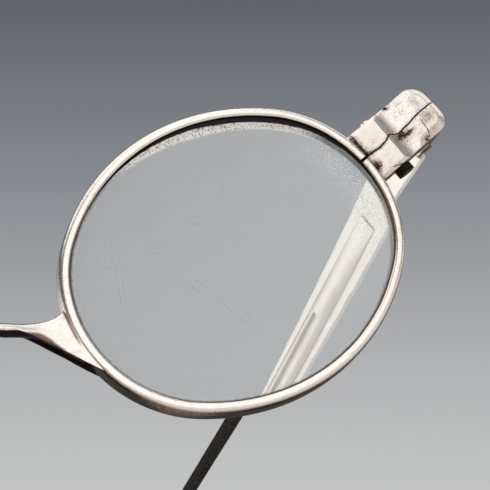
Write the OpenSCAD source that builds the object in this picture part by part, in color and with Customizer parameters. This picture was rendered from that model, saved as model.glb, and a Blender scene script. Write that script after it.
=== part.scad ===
// Silver spectacles with oval lenses, split end pieces and sliding side arms.
// The front stands in the XZ plane and faces -Y, and the open arms run towards +Y.
// The origin is on the underside of the bridge, where it rests on the nose.

/* [Oval rims] */
// Width of each oval, along the middle of its wire
oval_w = 36; // [33:0.5:40]
// Height of each oval, along the middle of its wire
oval_h = 28.6; // [26:0.2:31]
// Distance between the middles of the two lenses
lens_spacing = 58; // [54:1:64]
// Width of the rim wire, from the lens outwards
wire_w = 1.15; // [1.05:0.05:1.35]
// Depth of the rim wire, from front to back
wire_depth = 2.3; // [2:0.05:2.4]
// Rounding of the rim wire's outer edges
wire_edge = 0.55; // [0.35:0.05:0.55]
// Rounding of the rim wire's edges beside the lens
wire_inner = 0.4; // [0.2:0.05:0.4]
// Opening in the rim where the end piece clamps it
rim_gap = 0.3; // [0.2:0.05:0.5]

/* [Lenses] */
// Depth of the groove that holds the lens
groove_depth = 0.45; // [0.35:0.05:0.55]
// Width of the groove at its mouth
groove_w = 1; // [0.8:0.05:1.1]
// Thickness of the lens at its rim
lens_edge = 1.3; // [1.2:0.1:1.6]
// Radius of both faces of the lens
lens_face_r = 250; // [220:10:400]

/* [Bridge] */
// Height of the top of the arch above the middles of the lenses
arch_top = 8; // [7:0.2:9]
// Radius of the arch, along the middle of its wire
arch_r = 10; // [9.2:0.1:10.4]
// How far the top of the arch stands forward of the rims
arch_forward = 1.5; // [0.5:0.25:3]
// Thickness of the bridge wire
bridge_wire = 1.3; // [1.1:0.1:1.6]
// How far up the rim each foot reaches
foot_up = 5.5; // [4.5:0.25:6.5]
// How far down the rim each foot reaches
foot_down = 5.8; // [4.8:0.25:6.8]
// Depth of each foot from front to back
foot_depth = 1.9; // [1.5:0.1:1.9]

/* [End pieces] */
// Length of each end piece, from the middle of the rim wire
end_len = 11.2; // [10.8:0.2:12.4]
// Height of each end piece
end_h = 5.8; // [5.2:0.1:6.4]
// How far the seam meets the rim above the middle of the oval
end_up = 0.6; // [0:0.1:1.2]
// Slope at which the end piece rises outwards, in degrees
end_rise = 5; // [0:0.5:6]
// Front of the end piece, forward of the middle plane of the rims
end_front = 1; // [0.8:0.05:1.1]
// Back of the end piece, behind the middle plane of the rims
end_back = 1.2; // [1.15:0.05:1.4]
// Width of the sloping band round the outer flat
dome_band = 0.9; // [0.7:0.05:1.1]
// How far the sloping band falls back at its outer edge
band_drop = 0.55; // [0.4:0.05:0.7]
// How far the outer flat stands forward of the inner one
dome_rise = 0.3; // [0.1:0.05:0.5]
// Distance from the rim to the middle of the cross hollow
hollow_at = 5.1; // [4.6:0.1:5.6]
// Radius of the cross hollow
hollow_r = 2.4; // [1.8:0.1:3]
// Depth of the cross hollow
hollow_depth = 0.4; // [0.3:0.05:0.5]
// Radius of the groove between the rim and the upper half
root_r = 0.45; // [0.3:0.05:0.5]
// Rise and fall of the seam between the two halves
seam_wave = 0.28; // [0:0.04:0.4]
// Width of the seam between the two halves
seam_gap = 0.08; // [0.04:0.02:0.14]
// Radius of the rounded corners
corner_r = 1.9; // [1.4:0.1:2.1]

/* [Hinges and screws] */
// Distance of the hinge axis behind the middle plane of the rims
hinge_back = 3.4; // [3.2:0.1:4]
// Radius of the hinge knuckles
knuckle_r = 1.4; // [1.3:0.05:1.6]
// Height of the middle knuckle, on the arm
knuckle_h = 1.9; // [1.6:0.1:2.2]
// Radius of the hinge screw
hinge_screw_r = 0.55; // [0.45:0.05:0.6]
// How far the head of the hinge screw is wider than its shank, each side
head_over = 0.25; // [0.15:0.05:0.25]
// Height of the head of the hinge screw, which is let into the end piece
head_h = 0.45; // [0.35:0.05:0.6]
// Width of the slot in both screw heads
head_slot_w = 0.25; // [0.15:0.05:0.35]
// How far the ends of both screws show
screw_end = 0.2; // [0.1:0.05:0.4]
// Distance from the rim to the closing screw
closing_at = 3.3; // [2.8:0.1:3.6]
// Radius of the closing screw
closing_screw_r = 0.45; // [0.4:0.05:0.5]
// Radius of the head of the closing screw
closing_head_r = 0.95; // [0.8:0.05:1]
// Height of the head of the closing screw, which stands below the end piece
closing_head_h = 0.8; // [0.5:0.05:0.9]

/* [Arms] */
// Downward slope of the open arms, in degrees
droop = 3.7; // [3:0.1:4]
// Length of the front section, from the hinge axis
arm_len = 74; // [72:1:80]
// Height of the front section beside the hinge
root_h = 5.4; // [5:0.1:6]
// Height of the front section at its far end
arm_h = 2.8; // [2.7:0.1:3.2]
// How far the arm hangs below the middle of the hinge
arm_drop = 0.5; // [0.2:0.05:0.6]
// Thickness of the front section
arm_t = 0.9; // [0.8:0.05:1.1]
// Rounding of the keeper's long edges
keeper_edge = 0.2; // [0.1:0.05:0.3]

/* [Sliders] */
// Distance from the hinge axis to the front end of the slider
slider_start = 22; // [20:1:26]
// Length of the slider to the middle of its eyelet
slider_len = 108; // [104:1:112]
// Height of the slider
slider_h = 2.2; // [2:0.1:2.3]
// Thickness of the slider at its middle
slider_t = 0.8; // [0.7:0.05:0.9]
// Thickness of the slider along its edges
slider_edge_t = 0.35; // [0.3:0.05:0.45]
// How far the slider can be pushed in from here
push_in = 5; // [3:1:8]
// How far the slider can be pulled out from here
pull_out = 26; // [20:1:28]
// Outer radius of the eyelet at the tip
eyelet_r = 2.2; // [1.9:0.1:2.4]
// Radius of the hole in the eyelet
eyelet_hole_r = 1.1; // [0.9:0.05:1.2]
// Length of the keeper that wraps the slider
keeper_len = 3.6; // [2.8:0.2:4.4]
// Wall of the keeper
keeper_wall = 0.4; // [0.3:0.05:0.5]
// Distance from the end of the front section to the stud
stud_back = 6; // [5.5:0.25:8]
// Radius of the stud
stud_r = 0.4; // [0.3:0.05:0.45]
// Radius of the stud's head
stud_head_r = 0.85; // [0.75:0.05:1]
// Height of the stud's head
stud_head_h = 0.35; // [0.25:0.05:0.45]

/* [Fits] */
// Clearance of a lens in its groove
lens_fit = 0.04; // [0.02:0.01:0.08]
// Clearance of a fixed pin or screw in its hole
fixed_fit = 0.03; // [0.02:0.01:0.05]
// Clearance of a knuckle or slider that moves
running_fit = 0.05; // [0.03:0.01:0.08]
// Width of the solder line under each foot of the bridge
solder_line = 0.03; // [0.02:0.01:0.05]

/* [Hidden] */
$fn = 64;

// A cut runs this far past what it cuts
past = 0.5;

// The oval is drawn with a 3-4-5 triangle: the end arcs are centred 3 units out,
// the flatter side arcs 4 units past the middle, and their radii differ by 5 units
half_w = oval_w / 2;
half_h = oval_h / 2;
unit = (half_w - half_h) / 2;
end_r = half_h - unit;
end_cx = 3 * unit;
side_cz = 4 * unit;
side_r = end_r + 5 * unit;
reach = 2 * half_w;

// The rim wire, measured outwards from the oval
wire_in = -wire_w / 2;
wire_out = wire_w / 2;
rim_reach = 2 * wire_depth;

// The lens
lens_cx = lens_spacing / 2;
lens_out = wire_in - lens_fit;
bevel_out = wire_in + groove_depth - lens_fit;
bevel_half = groove_w / 2 - lens_fit;
face_steps = 8;

// The end piece, measured from the middle of the lens
seat_x = half_w + wire_out / 3;
end_x = half_w + end_len;
knuckle_x = end_x - knuckle_r;
band_y = end_front + dome_rise - band_drop;
neck_w = 2 * knuckle_r - past;
hollow_x = seat_x + hollow_at;
closing_x = seat_x + closing_at;
closing_y = (end_back - end_front) / 2;
half_end_h = end_h / 2;
hinge_z = rise_at(knuckle_x);
head_z = half_end_h - head_h;
head_top = half_end_h + closing_head_r * tan(end_rise) + solder_line;
lug_gap = knuckle_h + 2 * running_fit;
lug_slot_r = knuckle_r + 3 * running_fit;
seam_steps = 28;

// The arm, measured from the hinge axis, and the slider along it
half_t = arm_t / 2;
strip_start = knuckle_r + 0.35;
neck_h = knuckle_h - 0.1;
slide_face = -half_t - running_fit;
slider_in = slide_face - slider_t;
keeper_in = slider_in - running_fit;
keeper_start = arm_len - 0.3 - keeper_len;
stud_s = arm_len - stud_back;
slider_end = slider_start + slider_len;
slot_r = stud_r + running_fit;
crown = slider_t - slider_edge_t;
crown_r = (slider_h * slider_h / 4 + crown * crown) / (2 * crown);

// The bridge: an arch from ring to ring, then a foot that widens onto the rim
bridge_r = bridge_wire / 2;
arch_cz = arch_top - arch_r;
arch_end = 35;
arch_level = 75;
arch_steps = 12;
foot_steps = 9;
foot_sink = 0.15;
foot_lead = 2.75;
foot_land = 2.2;
ring_n = 20;

// Parts are drawn from the middle plane of the rims, then moved to the resting point
module placed() {
  translate([0, arch_forward, bridge_r - arch_top]) children();
}

// Puts a part beside the bridge: 1 is the wearer's left, -1 the wearer's right
module beside(s) {
  mirror([s < 0 ? 1 : 0, 0, 0]) translate([lens_cx, 0, 0]) children();
}

module side(s) {
  placed() beside(s) children();
}

// Turns a flat shape in X and Y upright, so that its Y becomes height
module upright() {
  rotate([90, 0, 0]) children();
}

// Lays a flat section across Y and pushes it along +Y
module along_arm(length) {
  rotate([-90, 0, 0]) linear_extrude(length) children();
}

// Drills along X or stands a disc on X, from x_from to x_to
module across(x_from, x_to, r) {
  translate([x_from, 0, 0]) rotate([0, 90, 0]) cylinder(h = x_to - x_from, r = r);
}

// A side arc ends on the two lines that meet in its own centre
module side_wedge() {
  polygon([[0, -side_cz], [3 * reach, 4 * reach - side_cz], [-3 * reach, 4 * reach - side_cz]]);
}

// Fills the oval solid: the section's X runs outwards from the oval and its Y forward
module fill_oval() {
  upright() for (turn = [0, 180]) rotate(turn) {
    translate([end_cx, 0]) spin_from(end_r) children();
    intersection() {
      translate([0, -side_cz]) spin_from(side_r) children();
      linear_extrude(reach, center = true) side_wedge();
    }
  }
}

// Spins what lies outside the axis of a section that is drawn from radius r
module spin_from(r) {
  rotate_extrude() intersection() {
    translate([r, 0]) children();
    translate([0, -reach]) square(2 * reach);
  }
}

// The oval itself, grown outwards by d
module oval(d) {
  for (turn = [0, 180]) rotate(turn) {
    translate([end_cx, 0]) circle(end_r + d);
    intersection() {
      translate([0, -side_cz]) circle(side_r + d);
      side_wedge();
    }
  }
}

// The outside of the rim wire, filled inwards past the middle of the oval
module wire_outside(grow = 0) {
  out = wire_out + grow;
  h = wire_depth / 2 + grow;
  e = wire_edge + grow;
  polygon([[-reach, -h], [out - e, -h], [out, e - h], [out, h - e], [out - e, h], [-reach, h]]);
  for (s = [-1, 1]) translate([out - e, s * (h - e)]) circle(e);
}

// The opening inside the rim wire, with its rounded mouth and the groove for the lens
module wire_inside() {
  h = wire_depth / 2 - wire_inner;
  mouth = wire_in + wire_inner;
  difference() {
    polygon([[-reach, -h - 1], [mouth, -h - 1], [mouth, -h], [wire_in, -h],
             [wire_in, -groove_w / 2], [wire_in + groove_depth, 0], [wire_in, groove_w / 2],
             [wire_in, h], [mouth, h], [mouth, h + 1], [-reach, h + 1]]);
    for (s = [-1, 1]) translate([mouth, s * h]) circle(wire_inner);
  }
}

// One rim, opened where the end piece clamps it and cut flat where it is soldered on
module rim() {
  color("silver") difference() {
    fill_oval() wire_outside();
    fill_oval() wire_inside();
    translate([half_w, 0, end_up]) cube([rim_reach, rim_reach, rim_gap], center = true);
    translate([seat_x, -rim_reach / 2, -end_h]) cube([rim_reach, rim_reach, 2 * end_h]);
  }
}

// Half the thickness of the lens at distance r from its middle
function lens_half(r) = lens_edge / 2 + sqrt(lens_face_r * lens_face_r - r * r)
                        - sqrt(lens_face_r * lens_face_r - half_w * half_w);

// One lens: two shallow domes cut to the oval, with a bevel round the edge
module lens() {
  steps = [for (i = [0 : face_steps]) half_w * i / face_steps];
  back = [for (r = steps) [r, lens_half(r)]];
  front = [for (i = [face_steps : -1 : 0]) [steps[i], -lens_half(steps[i])]];
  color([0.8, 0.84, 0.86, 0.4]) union() {
    intersection() {
      upright() linear_extrude(4 * lens_edge, center = true) oval(lens_out);
      upright() rotate_extrude() polygon(concat(back, front));
    }
    fill_oval() polygon([[-reach, -bevel_half], [lens_out, -bevel_half], [bevel_out, 0],
                         [lens_out, bevel_half], [-reach, bevel_half]]);
  }
}

// Places and directions of the bridge, in X, Y and Z
function arch_in(a) = 0.5 + 0.5 * cos(180 * a / arch_level);
function arch_point(a, t) =
  [(arch_r + bridge_r * cos(t)) * sin(a),
   -arch_forward * arch_in(a) + bridge_r * sin(t),
   arch_cz + (arch_r + bridge_r * cos(t)) * cos(a)];
function foot_z(t) = (foot_up - foot_down) / 2 + cos(t) * (foot_up + foot_down) / 2;
function foot_point(t) =
  [lens_cx - end_cx - sqrt((end_r - foot_sink) * (end_r - foot_sink) - foot_z(t) * foot_z(t)),
   foot_depth / 2 * sign(sin(t)) * pow(abs(sin(t)), 0.7),
   foot_z(t)];
function unit_of(v) = v / norm(v);
function landing(t) = unit_of([1, 0, cos(t) > 0 ? 0.95 * cos(t) : 2.1 * cos(t)]);
function leaving(a) = unit_of([cos(a), arch_forward * sin(180 * a / arch_level) / arch_r, -sin(a)]);
function bezier(p, q, r, s, u) =
  pow(1 - u, 3) * p + 3 * pow(1 - u, 2) * u * q + 3 * (1 - u) * u * u * r + pow(u, 3) * s;
function foot_ring(u) = [for (j = [0 : ring_n - 1])
  let (t = 360 * j / ring_n, a = arch_point(arch_end, t), e = foot_point(t))
  bezier(a, a + foot_lead * leaving(arch_end), e - foot_land * landing(t), e, u)];
function arch_ring(a) = [for (j = [0 : ring_n - 1]) arch_point(a, 360 * j / ring_n)];
function mirrored(ring) = [for (p = ring) [-p[0], p[1], p[2]]];

// The bridge: a wire arch whose feet widen and lie against both rims
module bridge() {
  half = concat([for (i = [1 : arch_steps]) arch_ring(arch_end * i / arch_steps)],
                [for (i = [1 : foot_steps]) foot_ring(i / foot_steps)]);
  n = len(half);
  rings = concat([for (i = [n - 1 : -1 : 0]) mirrored(half[i])], [arch_ring(0)], half);
  last = len(rings) - 1;
  points = concat([for (ring = rings) each ring],
                  [[-lens_cx + half_w, 0, foot_z(90)], [lens_cx - half_w, 0, foot_z(90)]]);
  cap = ring_n * (last + 1);
  sides = [for (i = [0 : last - 1], j = [0 : ring_n - 1])
    let (a = i * ring_n + j, b = i * ring_n + (j + 1) % ring_n)
    each [[a, b, b + ring_n], [a, b + ring_n, a + ring_n]]];
  ends = [for (j = [0 : ring_n - 1]) each [
    [cap, (j + 1) % ring_n, j],
    [cap + 1, last * ring_n + j, last * ring_n + (j + 1) % ring_n]]];
  color("silver") difference() {
    polyhedron(points = points, faces = concat(sides, ends), convexity = 6);
    for (s = [-1, 1]) beside(s) fill_oval() wire_outside(solder_line);
  }
}

// Height of the middle of the end piece at distance x from the middle of the lens
function rise_at(x) = end_up + (x - seat_x) * tan(end_rise);

// The end piece seen from above: inner flat, hollow, outer flat, neck and hinge lug
module end_plan() {
  difference() {
    union() {
      translate([seat_x, -end_front]) square([hollow_at + past, end_front + end_back]);
      translate([hollow_x, -end_front - dome_rise])
        square([end_x - hollow_x, end_front + dome_rise + end_back]);
      translate([end_x - neck_w, 0]) square([neck_w, hinge_back]);
      translate([knuckle_x, hinge_back]) circle(knuckle_r);
    }
    translate([hollow_x, -end_front + hollow_depth - hollow_r]) circle(hollow_r);
  }
}

// Sets a front view, drawn from the rim outwards, on the rim and along its rise
module on_rise() {
  upright() linear_extrude(4 * end_x, center = true) rising() children();
}

module rising() {
  translate([seat_x, end_up]) rotate(end_rise) children();
}

// The end piece seen from the front, with rounded outer corners and less by inset
module end_outline(inset = 0) {
  length = (end_x - seat_x) / cos(end_rise) - inset;
  half = half_end_h - inset;
  r = corner_r - inset;
  translate([-past, -half]) square([length + past - r, 2 * half]);
  translate([-past, r - half]) square([length + past, 2 * (half - r)]);
  for (s = [-1, 1]) translate([length - r, s * (half - r)]) circle(r);
}

// The block of the end piece, with a sloping band round its front
module banded() {
  hull() {
    upright() translate([0, 0, -2 * hinge_back - past])
      linear_extrude(2 * hinge_back + past + band_y) rising() end_outline();
    upright() linear_extrude(end_front + dome_rise) rising() end_outline(dome_band);
  }
}

// Height of the seam at a share t of its length: a small peak with a shallow dip on each side
function bump(t, at, width) = exp(-pow((t - at) / width, 2));
function seam(t) = seam_wave * (bump(t, 0.5, 0.07) - 0.35 * bump(t, 0.26, 0.11)
                                - 0.8 * bump(t, 0.66, 0.07) - 0.5 * bump(t, 0.82, 0.1));

// Everything on one side of the seam, s being 1 above it and -1 below it
module seam_side(s) {
  seam_l = knuckle_x - lug_slot_r - seat_x;
  far = end_x + past;
  line = [for (i = [0 : seam_steps])
    [seam_l * i / seam_steps, seam(i / seam_steps) + s * seam_gap / 2]];
  polygon(concat([[-past, s * seam_gap / 2]], line,
                 [[far, s * seam_gap / 2], [far, s * end_h], [-past, s * end_h]]));
}

// Half an end piece: s is 1 for the upper half and -1 for the lower half
module endpiece(s) {
  color("silver") difference() {
    intersection() {
      translate([0, 0, -end_h]) linear_extrude(2 * end_h + 2 * hinge_z) end_plan();
      on_rise() seam_side(s);
      banded();
    }
    at_hinge() translate([0, 0, -lug_gap / 2]) cylinder(h = lug_gap, r = lug_slot_r);
    at_hinge() translate([0, 0, -end_h]) cylinder(h = 2 * end_h, r = hinge_screw_r + fixed_fit);
    at_closing() translate([0, 0, -end_h]) cylinder(h = 2 * end_h, r = closing_screw_r + fixed_fit);
    if (s > 0) {
      at_hinge() translate([0, 0, head_z])
        cylinder(h = end_h, r = hinge_screw_r + head_over + fixed_fit);
      translate([seat_x, -end_front, 0]) cylinder(h = end_h, r = root_r);
    }
  }
}

// The hinge screw, whose slotted head is let into the top of the end piece
module hinge_screw() {
  color("gainsboro") at_hinge() difference() {
    union() {
      translate([0, 0, -half_end_h - screw_end])
        cylinder(h = end_h + screw_end - head_h / 2, r = hinge_screw_r);
      translate([0, 0, head_z]) cylinder(h = head_h, r = hinge_screw_r + head_over);
    }
    translate([0, 0, head_z + head_h]) cube([4 * knuckle_r, head_slot_w, head_h], center = true);
  }
}

// The closing screw, whose slotted head stands below the end piece
module closing_screw() {
  color("gainsboro") at_closing() difference() {
    union() {
      translate([0, 0, -half_end_h - past]) cylinder(h = end_h + past + screw_end, r = closing_screw_r);
      translate([0, 0, -head_top - closing_head_h]) cylinder(h = closing_head_h, r = closing_head_r);
    }
    translate([0, 0, -head_top - closing_head_h])
      cube([4 * closing_head_r, head_slot_w, closing_head_h], center = true);
  }
}

// Puts a part on the axis of the closing screw or of the hinge, or along the sloping arm
module at_closing() {
  translate([closing_x, closing_y, rise_at(closing_x)]) children();
}

module at_hinge() {
  translate([knuckle_x, hinge_back, hinge_z]) children();
}

module on_arm() {
  at_hinge() translate([0, 0, -arm_drop]) rotate([-droop, 0, 0]) children();
}

// A flat section with rounded corners, from x_in to x_out and h high
module bar_section(x_in, x_out, h, r) {
  translate([x_in + r, -h / 2]) square([x_out - x_in - 2 * r, h]);
  translate([x_in, r - h / 2]) square([x_out - x_in, h - 2 * r]);
  for (x = [x_in + r, x_out - r], z = [r - h / 2, h / 2 - r]) translate([x, z]) circle(r);
}

// The front section seen from the side: it tapers from the hinge to its far end
module arm_outline() {
  polygon([[strip_start, -root_h / 2], [arm_len, -arm_h / 2],
           [arm_len, arm_h / 2], [strip_start, root_h / 2]]);
}

// The front section of an arm: a tapered flat bar with the middle knuckle of the hinge
module temple() {
  color("silver") difference() {
    union() {
      at_hinge() translate([0, 0, -knuckle_h / 2]) cylinder(h = knuckle_h, r = knuckle_r);
      at_hinge() translate([-half_t, 0, -neck_h / 2]) cube([arm_t, strip_start + past, neck_h]);
      on_arm() rotate([0, 0, 90]) upright() linear_extrude(arm_t, center = true) arm_outline();
    }
    at_hinge() translate([0, 0, -knuckle_h]) cylinder(h = 2 * knuckle_h, r = hinge_screw_r + running_fit);
    on_arm() translate([0, stud_s, 0]) across(-arm_t, arm_t, stud_r + fixed_fit);
  }
}

// The keeper: a small staple soldered over the slider at the end of the front section
module keeper() {
  color("silver") on_arm() translate([0, keeper_start, 0]) along_arm(keeper_len) difference() {
    bar_section(keeper_in - keeper_wall, -half_t, arm_h, keeper_edge);
    translate([keeper_in, -slider_h / 2 - running_fit])
      square([2 * slider_t, slider_h + 2 * running_fit]);
  }
}

// The stud, riveted in the front section, which rides in the slider's slot
module stud() {
  color("gainsboro") on_arm() translate([0, stud_s, 0]) {
    across(keeper_in - stud_head_h / 2, half_t, stud_r);
    across(keeper_in - stud_head_h, keeper_in, stud_head_r);
  }
}

// The slider: a half-round strip with a long slot and an eyelet at its tip
module slider() {
  color("silver") on_arm() difference() {
    union() {
      translate([0, slider_start, 0]) along_arm(slider_len) {
        translate([slide_face - slider_edge_t, -slider_h / 2]) square([slider_edge_t, slider_h]);
        intersection() {
          translate([slider_in + crown_r, 0]) circle(crown_r);
          translate([slider_in - past, -slider_h / 2]) square([crown + past, slider_h]);
        }
      }
      translate([0, slider_end, 0]) across(slider_in, slide_face, eyelet_r);
    }
    translate([0, slider_end, 0]) across(slider_in - past, slide_face + past, eyelet_hole_r);
    for (s = [stud_s - pull_out - running_fit, stud_s + push_in + running_fit])
      translate([0, s, 0]) across(slider_in - past, slide_face + past, slot_r);
    translate([slider_in - past, stud_s - pull_out - running_fit, -slot_r])
      cube([slider_t + 2 * past, pull_out + push_in + 2 * running_fit, 2 * slot_r]);
  }
}

placed() bridge();
side(1) rim();  // left_rim
side(-1) rim();  // right_rim
side(1) lens();  // left_lens
side(-1) lens();  // right_lens
side(1) endpiece(1);  // left_endpiece_upper
side(1) endpiece(-1);  // left_endpiece_lower
side(-1) endpiece(1);  // right_endpiece_upper
side(-1) endpiece(-1);  // right_endpiece_lower
side(1) closing_screw();  // left_closing_screw
side(-1) closing_screw();  // right_closing_screw
side(1) hinge_screw();  // left_hinge_screw
side(-1) hinge_screw();  // right_hinge_screw
side(1) temple();  // left_temple
side(-1) temple();  // right_temple
side(1) keeper();  // left_keeper
side(-1) keeper();  // right_keeper
side(1) stud();  // left_stud
side(-1) stud();  // right_stud
side(1) slider();  // left_slider
side(-1) slider();  // right_slider
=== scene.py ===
# %% [markdown]
# # Old silver spectacles, seen close to one oval lens
#
# The metal frame was drawn first, at its real size, and this script dresses it.
# Each cell makes one piece or one finish, and says how such a piece can be made.
# Everything is worked out in millimetres and turned into metres at the very end,
# because the smallest details here are a few hundredths of a millimetre.

# %% Load the drawn frame
import math

import bmesh
import bpy
import numpy as np
from mathutils import Matrix, Vector


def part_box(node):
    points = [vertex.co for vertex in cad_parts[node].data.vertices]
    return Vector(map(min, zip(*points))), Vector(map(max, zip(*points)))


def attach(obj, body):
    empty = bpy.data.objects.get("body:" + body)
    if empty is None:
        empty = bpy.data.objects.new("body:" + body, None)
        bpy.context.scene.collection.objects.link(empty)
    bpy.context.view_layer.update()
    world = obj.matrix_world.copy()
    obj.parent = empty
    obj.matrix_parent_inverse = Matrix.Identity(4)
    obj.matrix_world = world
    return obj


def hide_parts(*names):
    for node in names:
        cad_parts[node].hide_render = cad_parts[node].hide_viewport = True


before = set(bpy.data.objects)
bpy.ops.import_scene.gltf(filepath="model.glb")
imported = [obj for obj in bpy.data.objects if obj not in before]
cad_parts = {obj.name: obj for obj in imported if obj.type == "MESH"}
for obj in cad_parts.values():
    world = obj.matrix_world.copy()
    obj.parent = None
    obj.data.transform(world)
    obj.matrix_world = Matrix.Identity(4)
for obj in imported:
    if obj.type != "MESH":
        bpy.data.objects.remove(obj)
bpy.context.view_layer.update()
MM = 0.001


# %% [markdown]
# ## The sizes that the pieces share
#
# The oval of each rim is made of four arcs: two tight ones at its ends and two flat
# ones at top and bottom. They meet on a 3-4-5 triangle, so one unit gives all of them.
# The middle of a lens is the middle of its box, which keeps this script tied to the frame.

# %% Sizes in millimetres
SIDES = ((1, "left"), (-1, "right"))
lens_low, lens_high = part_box("left_lens")
LENS = (lens_low + lens_high) / 2 / MM
OVAL_W, OVAL_H = 36.0, 28.6      # along the middle of the rim's wire
WIRE_W, WIRE_D = 1.15, 2.3       # the wire's width, and its depth from front to back
UNIT = (OVAL_W - OVAL_H) / 4
END_R = OVAL_H / 2 - UNIT        # the tight arcs
SIDE_R = END_R + 5 * UNIT        # the flat arcs
HALF_W = OVAL_W / 2
SEAT_X = HALF_W + WIRE_W / 6     # where a rim is filed flat for its end piece
END_UP, RIM_GAP = 0.6, 0.3       # the seam's height at the rim, and the rim's opening
END_SLOPE = math.tan(math.radians(5.0))
HINGE_OUT, HINGE_BACK = 27.8, 3.4
DROOP = 3.7                      # how far an arm slopes down, in degrees
print("middle of the left lens", [round(v, 3) for v in LENS])
print("radii of the oval", END_R, SIDE_R)
print("half the width of the lens's box", (lens_high - lens_low).x / MM / 2)

# %% [markdown]
# ## Node trees written as sums
#
# A material is a drawing of nodes and wires. Here a small class stands for one socket,
# so that a pattern is written as ordinary arithmetic and each sum adds its own Math node.
# One method adds every other kind of node: its type, its settings, then its sockets.

# %% A socket that can be added and multiplied
class Value:
    """One output socket. Arithmetic on it adds the Math nodes that the sum needs."""

    def __init__(self, bench, socket):
        self.bench, self.socket = bench, socket

    def __add__(self, other):
        return self.bench.maths("ADD", self, other)

    def __radd__(self, other):
        return self.bench.maths("ADD", other, self)

    def __sub__(self, other):
        return self.bench.maths("SUBTRACT", self, other)

    def __rsub__(self, other):
        return self.bench.maths("SUBTRACT", other, self)

    def __mul__(self, other):
        return self.bench.maths("MULTIPLY", self, other)

    def __rmul__(self, other):
        return self.bench.maths("MULTIPLY", other, self)

    def __truediv__(self, other):
        return self.bench.maths("DIVIDE", self, other)

    def clamp(self):
        return self.bench.maths("MINIMUM", self.bench.maths("MAXIMUM", self, 0.0), 1.0)

    def step(self, low, high):
        """0 below low, 1 above high, and a soft rise between them."""
        return self.bench.node("ShaderNodeMapRange", {"interpolation_type": "SMOOTHSTEP"},
                               {"Value": self, "From Min": low, "From Max": high})


# %% A node tree with one method for every node
def is_vector(value):
    if isinstance(value, Value):
        return value.socket.type == "VECTOR"
    return isinstance(value, (tuple, Vector))


class Bench:
    """A node tree on the bench."""

    def __init__(self, tree):
        self.tree = tree
        tree.nodes.clear()

    def node(self, kind, settings=None, sockets=None, out=0):
        """Adds a node: its type, its settings, then the values or links of its sockets."""
        made = self.tree.nodes.new(kind)
        for key, value in (settings or {}).items():
            if key == "stops":
                while len(made.color_ramp.elements) < len(value):
                    made.color_ramp.elements.new(0.5)
                for stop, (place, colour) in zip(made.color_ramp.elements, value):
                    stop.position, stop.color = place, (*colour, 1.0)
            else:
                setattr(made, key, value)
        for key, value in (sockets or {}).items():
            self.feed(made.inputs[key], value)
        return Value(self, made.outputs[out]) if len(made.outputs) else made

    def feed(self, socket, value):
        if isinstance(value, Value):
            self.tree.links.new(value.socket, socket)
        elif socket.type == "RGBA" and len(value) == 3:
            socket.default_value = (*value, 1.0)
        else:
            socket.default_value = value

    def maths(self, operation, first, second):
        """A Math node for two numbers, or a Vector Math node where a vector takes part."""
        arrows = [is_vector(first), is_vector(second)]
        if not any(arrows):
            return self.node("ShaderNodeMath", {"operation": operation}, {0: first, 1: second})
        if operation == "MULTIPLY" and not all(arrows):
            arrow, number = (first, second) if arrows[0] else (second, first)
            return self.node("ShaderNodeVectorMath", {"operation": "SCALE"},
                             {0: arrow, "Scale": number})
        return self.node("ShaderNodeVectorMath", {"operation": operation}, {0: first, 1: second})

    def blend(self, amount, first, second):
        """From the first colour to the second as amount goes from 0 to 1."""
        return self.node("ShaderNodeMix", {"data_type": "RGBA"},
                         {0: amount, 6: first, 7: second}, out=2)


print("a socket and a bench to write materials with")

# %% [markdown]
# ## Patterns of wear
#
# Old silver is never one colour. It is rubbed bright where it is touched and keeps a
# brown film where a cloth can't reach. Three patterns are enough: soft clouds, small
# pits, which are the peaks of fine clouds, and hairline scratches, which are noise
# stretched a hundred times one way.

# %% Clouds and scratches
def clouds(bench, place, size, detail=4.0, rough=0.55):
    """Soft noise whose patches are about size millimetres across."""
    return bench.node("ShaderNodeTexNoise", {"noise_dimensions": "3D"},
                      {"Vector": place, "Scale": 1 / size, "Detail": detail, "Roughness": rough})


def scratches(bench, place, turn, size, length):
    """Hairlines: noise squeezed across and stretched along, turned by three angles."""
    turned = bench.node("ShaderNodeMapping", {"vector_type": "POINT"}, {
        "Vector": place, "Rotation": turn, "Scale": (1 / length, 1 / size, 1 / size)})
    return clouds(bench, turned, 1.0, 2.0, 0.5).step(0.675, 0.73)


def kept(bench, name):
    """A number that a piece keeps on its own points, or 0 where it keeps none."""
    return bench.node("ShaderNodeAttribute",
                      {"attribute_type": "GEOMETRY", "attribute_name": name}, out="Fac")


print("patterns: clouds, scratches, and numbers kept on the points")

# %% [markdown]
# ## Worn silver
#
# The metal is a cream white that turns faintly pink in broad patches and white on its
# rubbed edges. Each piece stores up to three numbers on its points: one for how much
# film it keeps together with how much shade is painted on it, rub, how much it is
# polished, and speckle, how many pits it shows. A thin film or light painted shade is
# brown, and a thick film or deep painted shade nearly black. The clouds break up all of
# it, so that no border looks drawn.

# %% The silver of the frame
PINKISH = (0.99, 0.945, 0.93)         # multiplies the cream in the broad patches
RUBBED_WHITE = (0.975, 0.945, 0.90)
BROWN_FILM_AND_SHADE = (0.42, 0.29, 0.205)
PIT_BROWN = (0.19, 0.105, 0.065)
HAIRLINE = (0.42, 0.36, 0.30)


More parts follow.
